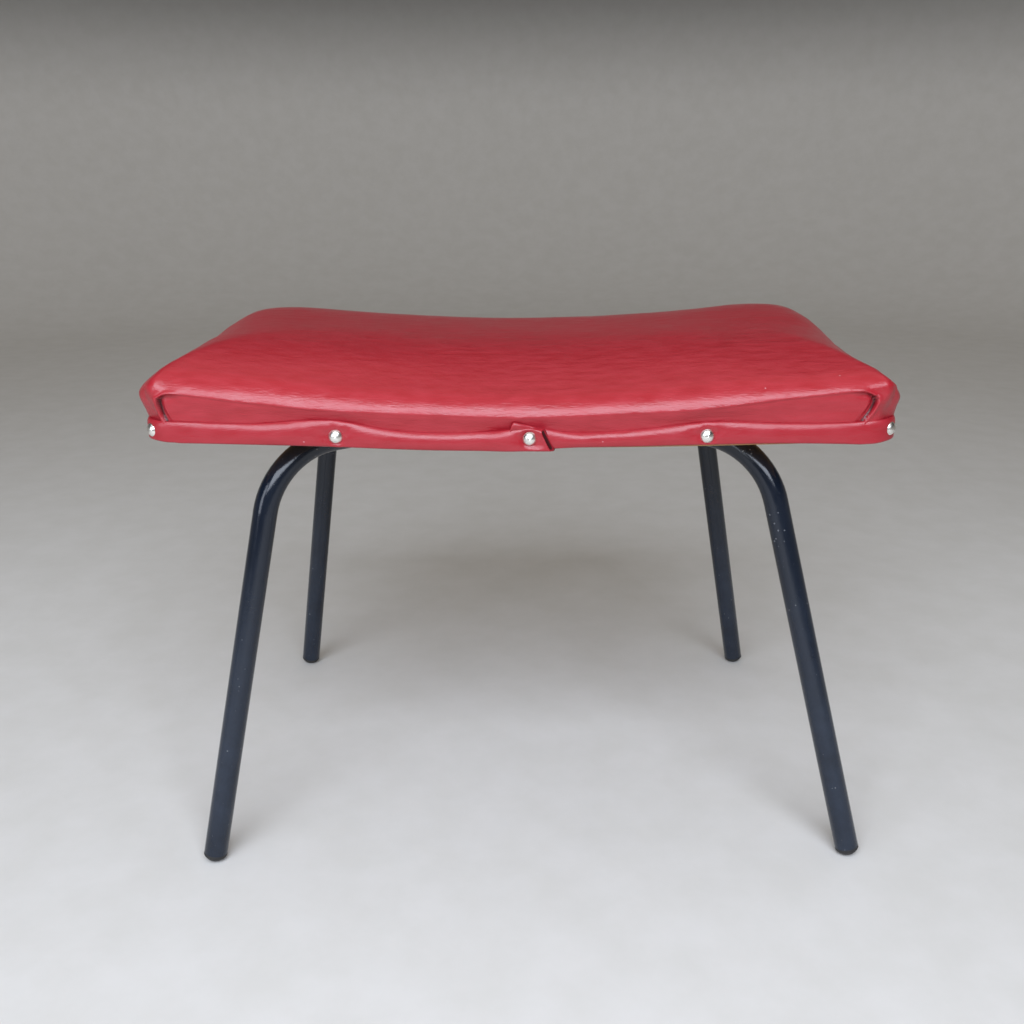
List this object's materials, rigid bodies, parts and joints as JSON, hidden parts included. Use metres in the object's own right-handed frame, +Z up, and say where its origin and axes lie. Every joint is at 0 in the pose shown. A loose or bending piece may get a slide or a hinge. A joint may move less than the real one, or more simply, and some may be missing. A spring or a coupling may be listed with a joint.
{
  "type": "shoe fitting stool",
  "caption": "Low stool with a bent board seat, a crowned vinyl cushion edged by a nailed trim band, and crossed bent steel tube legs that end in domed plugs.",
  "frame": {"origin": "on the floor, straight below the middle of the seat board", "axes": "+Z up; +X along the seat's long side, towards the right as seen from the front; -Y is the front"},
  "size_m": [0.5929, 0.4014, 0.4454],
  "materials": {
    "plywood": "matte",
    "foam": "matte",
    "vinyl": "satin",
    "band_vinyl": "satin",
    "nickel": "polished",
    "blued_steel": "satin",
    "enamelled_steel": "satin",
    "zinc_plated_steel": "satin",
    "foot_rubber": "matte"
  },
  "bodies": {
    "root": {"seat_board": "plywood", "foam_pad": "foam", "seat_cover": "vinyl", "trim_band": "band_vinyl", "dome_nails": "nickel", "cover_tacks": "blued_steel", "through_tube": "enamelled_steel", "front_right_tube": "enamelled_steel", "rear_left_tube": "enamelled_steel", "crossing_welds": "enamelled_steel", "frame_screws": "zinc_plated_steel", "screw_washers": "zinc_plated_steel", "front_left_foot": "foot_rubber", "front_right_foot": "foot_rubber", "rear_left_foot": "foot_rubber", "rear_right_foot": "foot_rubber"}
  },
  "joints": []
}
